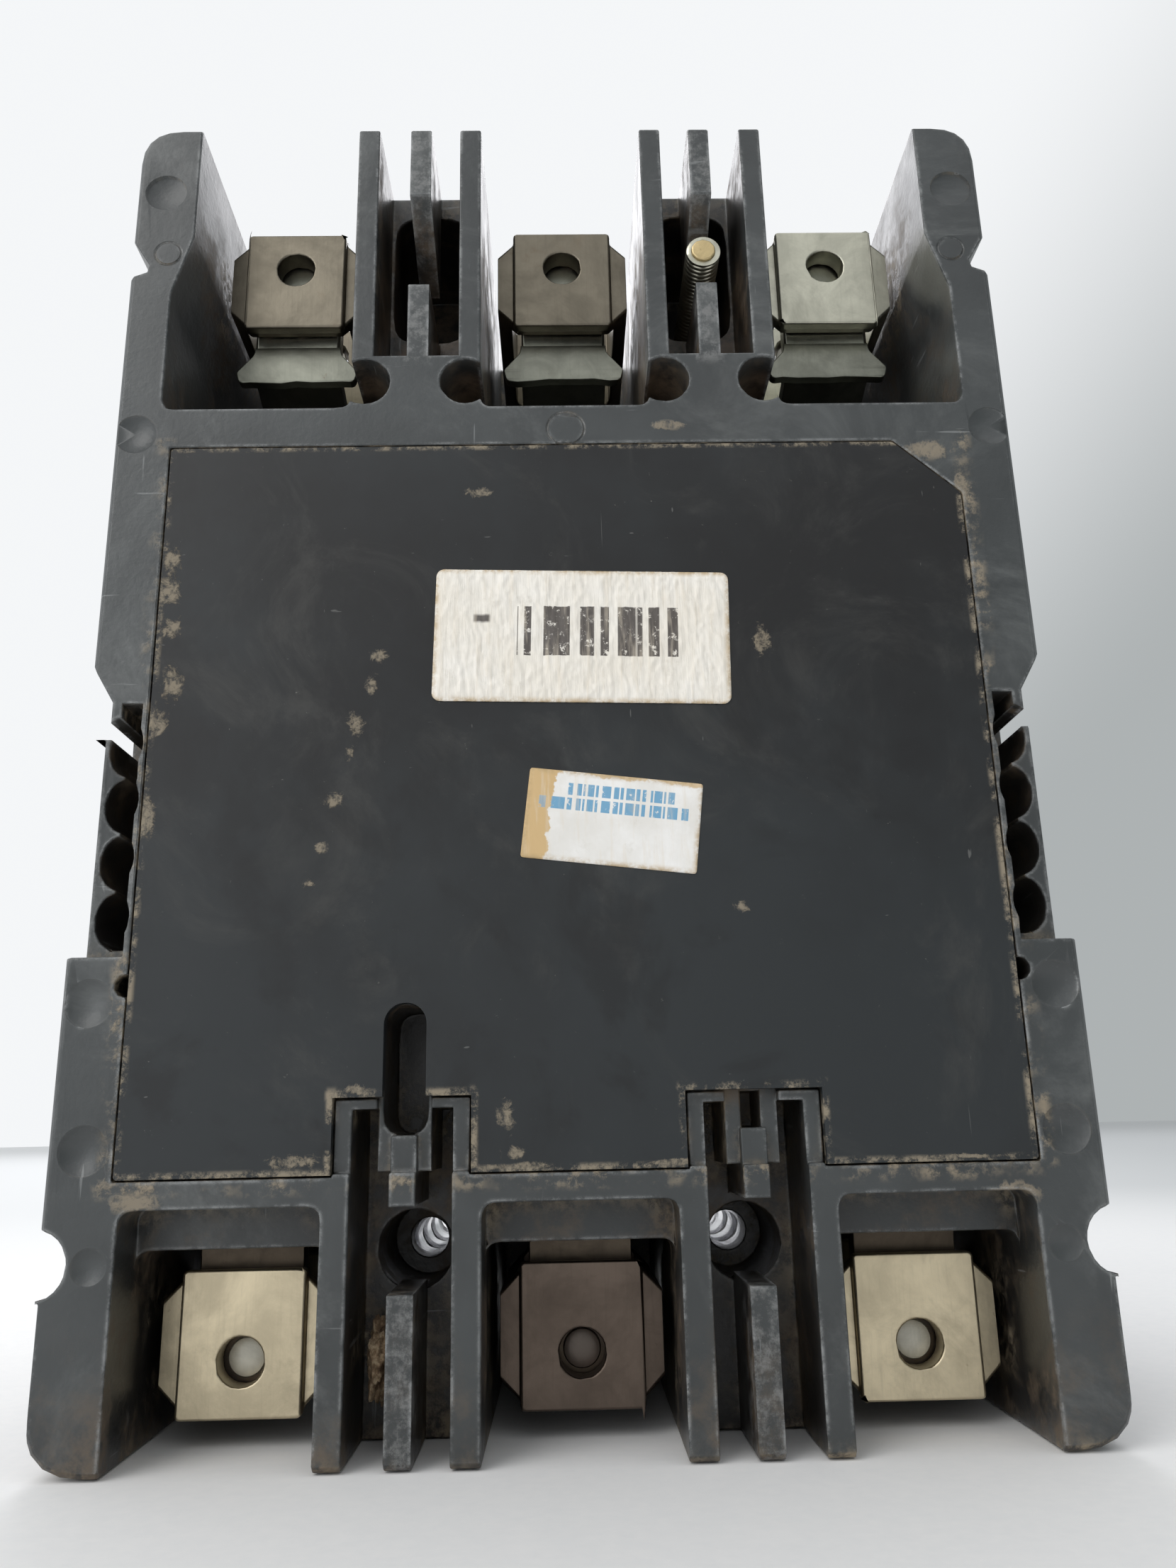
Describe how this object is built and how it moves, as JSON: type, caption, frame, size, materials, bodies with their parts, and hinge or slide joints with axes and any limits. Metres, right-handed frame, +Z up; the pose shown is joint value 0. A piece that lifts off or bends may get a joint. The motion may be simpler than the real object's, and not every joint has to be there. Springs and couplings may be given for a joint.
{
  "type": "circuit breaker",
  "caption": "Moulded-case circuit breaker: base with finned terminal chambers, insulating back plate, cover with tilting toggle, box lugs, and switching and tripping parts inside.",
  "frame": {"origin": "middle of the flat back, halfway between the ends and between the sides", "axes": "+X to the right seen from the front, +Y out of the flat back, -Y towards the toggle, +Z up towards the line terminals"},
  "size_m": [0.1048, 0.0997, 0.1524],
  "materials": {
    "housing": "satin moulded thermoset",
    "back_plate": "smooth laminated sheet",
    "label_paper": "wrinkled paper, blank",
    "plated_steel": "tin-zinc plated steel",
    "dark_steel": "tarnished steel",
    "zinc": "zinc plated",
    "brass": "yellow passivated thread",
    "copper": "bare copper",
    "black_plastic": "moulded plastic",
    "red_plastic": "moulded plastic",
    "chute_fibre": "vulcanised fibre and steel"
  },
  "bodies": {
    "housing": {"housing_base": "housing", "housing_cover": "housing", "back_plate": "back_plate", "label_large": "label_paper", "label_small": "label_paper", "rating_label": "label_paper", "cover_screw_line_left": "zinc", "cover_screw_line_right": "zinc", "cover_screw_load_left": "zinc", "cover_screw_load_right": "zinc", "mounting_screw": "brass", "line_lug_left": "plated_steel", "line_lug_centre": "plated_steel", "line_lug_right": "plated_steel", "load_lug_left": "plated_steel", "load_lug_centre": "dark_steel", "load_lug_right": "plated_steel", "line_strap_left": "zinc", "load_strap_left": "zinc", "bimetal_left": "brass", "magnet_core_left": "dark_steel", "braid_left": "copper", "arc_chute_left": "chute_fibre", "line_strap_centre": "zinc", "load_strap_centre": "zinc", "bimetal_centre": "brass", "magnet_core_centre": "dark_steel", "braid_centre": "copper", "arc_chute_centre": "chute_fibre", "line_strap_right": "zinc", "load_strap_right": "zinc", "bimetal_right": "brass", "magnet_core_right": "dark_steel", "braid_right": "copper", "arc_chute_right": "chute_fibre", "cradle": "dark_steel", "mechanism_frame": "zinc"},
    "toggle": {"handle_yoke": "zinc", "toggle_handle": "black_plastic", "main_spring_left": "dark_steel", "main_spring_right": "dark_steel"},
    "shield": {"handle_shield": "black_plastic"},
    "crossbar": {"crossbar": "black_plastic"},
    "upper_link": {"upper_link": "dark_steel"},
    "lower_link": {"lower_link": "dark_steel"},
    "trip_bar": {"trip_bar": "black_plastic"},
    "trip_button": {"trip_button": "red_plastic"},
    "line_lug_screw_left": {"line_lug_screw_left": "plated_steel"},
    "line_lug_screw_centre": {"line_lug_screw_centre": "plated_steel"},
    "line_lug_screw_right": {"line_lug_screw_right": "plated_steel"},
    "load_lug_screw_left": {"load_lug_screw_left": "plated_steel"},
    "load_lug_screw_centre": {"load_lug_screw_centre": "plated_steel"},
    "load_lug_screw_right": {"load_lug_screw_right": "plated_steel"},
    "armature_left": {"armature_left": "dark_steel"},
    "contact_arm_left": {"contact_arm_left": "copper"},
    "armature_centre": {"armature_centre": "dark_steel"},
    "contact_arm_centre": {"contact_arm_centre": "copper"},
    "armature_right": {"armature_right": "dark_steel"},
    "contact_arm_right": {"contact_arm_right": "copper"}
  },
  "joints": [
    {"name": "handle_tilt", "type": "hinge", "parent": "housing", "child": "toggle", "pos_m": [0, -0.058, 0], "axis": [-1, 0, 0], "range_deg": [0, 44], "deforming": ["main_spring_left", "main_spring_right"]},
    {"name": "shield_slide", "type": "slide", "parent": "housing", "child": "shield", "axis": [0, 0, 1], "range_m": [0, 0.0165]},
    {"name": "crossbar_turn", "type": "hinge", "parent": "housing", "child": "crossbar", "pos_m": [0, -0.034, -0.012], "axis": [-1, 0, 0], "range_deg": [0, 38.1]},
    {"name": "upper_link_turn", "type": "hinge", "parent": "housing", "child": "upper_link", "pos_m": [0, -0.055, -0.015], "axis": [-1, 0, 0], "range_deg": [0, 39.6]},
    {"name": "lower_link_turn", "type": "hinge", "parent": "crossbar", "child": "lower_link", "pos_m": [0, -0.04199, -0.00598], "axis": [1, 0, 0], "range_deg": [0, 65]},
    {"name": "contact_arm_left_give", "type": "hinge", "parent": "crossbar", "child": "contact_arm_left", "pos_m": [-0.0349, -0.03434, -0.00983], "axis": [1, 0, 0], "range_deg": [0, 8], "stiffness_Nm_per_rad": 0.05, "springref_deg": -17.19},
    {"name": "contact_arm_centre_give", "type": "hinge", "parent": "crossbar", "child": "contact_arm_centre", "pos_m": [0, -0.03434, -0.00983], "axis": [1, 0, 0], "range_deg": [0, 8], "stiffness_Nm_per_rad": 0.05, "springref_deg": -17.19},
    {"name": "contact_arm_right_give", "type": "hinge", "parent": "crossbar", "child": "contact_arm_right", "pos_m": [0.0349, -0.03434, -0.00983], "axis": [1, 0, 0], "range_deg": [0, 8], "stiffness_Nm_per_rad": 0.05, "springref_deg": -17.19},
    {"name": "trip_bar_turn", "type": "hinge", "parent": "housing", "child": "trip_bar", "pos_m": [0, -0.0455, -0.04], "axis": [-1, 0, 0], "range_deg": [0, 10], "stiffness_Nm_per_rad": 0.02, "springref_deg": -17.19},
    {"name": "trip_button_push", "type": "slide", "parent": "housing", "child": "trip_button", "axis": [0, 1, 0], "range_m": [0, 0.0025], "stiffness_N_per_m": 200, "springref_m": -0.003},
    {"name": "armature_left_pull", "type": "hinge", "parent": "housing", "child": "armature_left", "pos_m": [-0.0349, -0.018, -0.0268], "axis": [1, 0, 0], "range_deg": [0, 6], "stiffness_Nm_per_rad": 0.01, "springref_deg": -11.46},
    {"name": "armature_centre_pull", "type": "hinge", "parent": "housing", "child": "armature_centre", "pos_m": [0, -0.018, -0.0268], "axis": [1, 0, 0], "range_deg": [0, 6], "stiffness_Nm_per_rad": 0.01, "springref_deg": -11.46},
    {"name": "armature_right_pull", "type": "hinge", "parent": "housing", "child": "armature_right", "pos_m": [0.0349, -0.018, -0.0268], "axis": [1, 0, 0], "range_deg": [0, 6], "stiffness_Nm_per_rad": 0.01, "springref_deg": -11.46},
    {"name": "line_lug_screw_left_drive", "type": "slide", "parent": "housing", "child": "line_lug_screw_left", "axis": [0, 1, 0], "range_m": [0, 0.012]},
    {"name": "line_lug_screw_centre_drive", "type": "slide", "parent": "housing", "child": "line_lug_screw_centre", "axis": [0, 1, 0], "range_m": [0, 0.012]},
    {"name": "line_lug_screw_right_drive", "type": "slide", "parent": "housing", "child": "line_lug_screw_right", "axis": [0, 1, 0], "range_m": [0, 0.012]},
    {"name": "load_lug_screw_left_drive", "type": "slide", "parent": "housing", "child": "load_lug_screw_left", "axis": [0, 1, 0], "range_m": [0, 0.012]},
    {"name": "load_lug_screw_centre_drive", "type": "slide", "parent": "housing", "child": "load_lug_screw_centre", "axis": [0, 1, 0], "range_m": [0, 0.012]},
    {"name": "load_lug_screw_right_drive", "type": "slide", "parent": "housing", "child": "load_lug_screw_right", "axis": [0, 1, 0], "range_m": [0, 0.012]}
  ],
  "couplings": [
    {"joint": "shield_slide", "follows": "handle_tilt", "m_per_rad": 0.021255},
    {"joint": "crossbar_turn", "follows": "handle_tilt", "ratio": 0.86364},
    {"joint": "upper_link_turn", "follows": "handle_tilt", "ratio": 0.89818},
    {"joint": "lower_link_turn", "follows": "handle_tilt", "ratio": 1.4737}
  ]
}
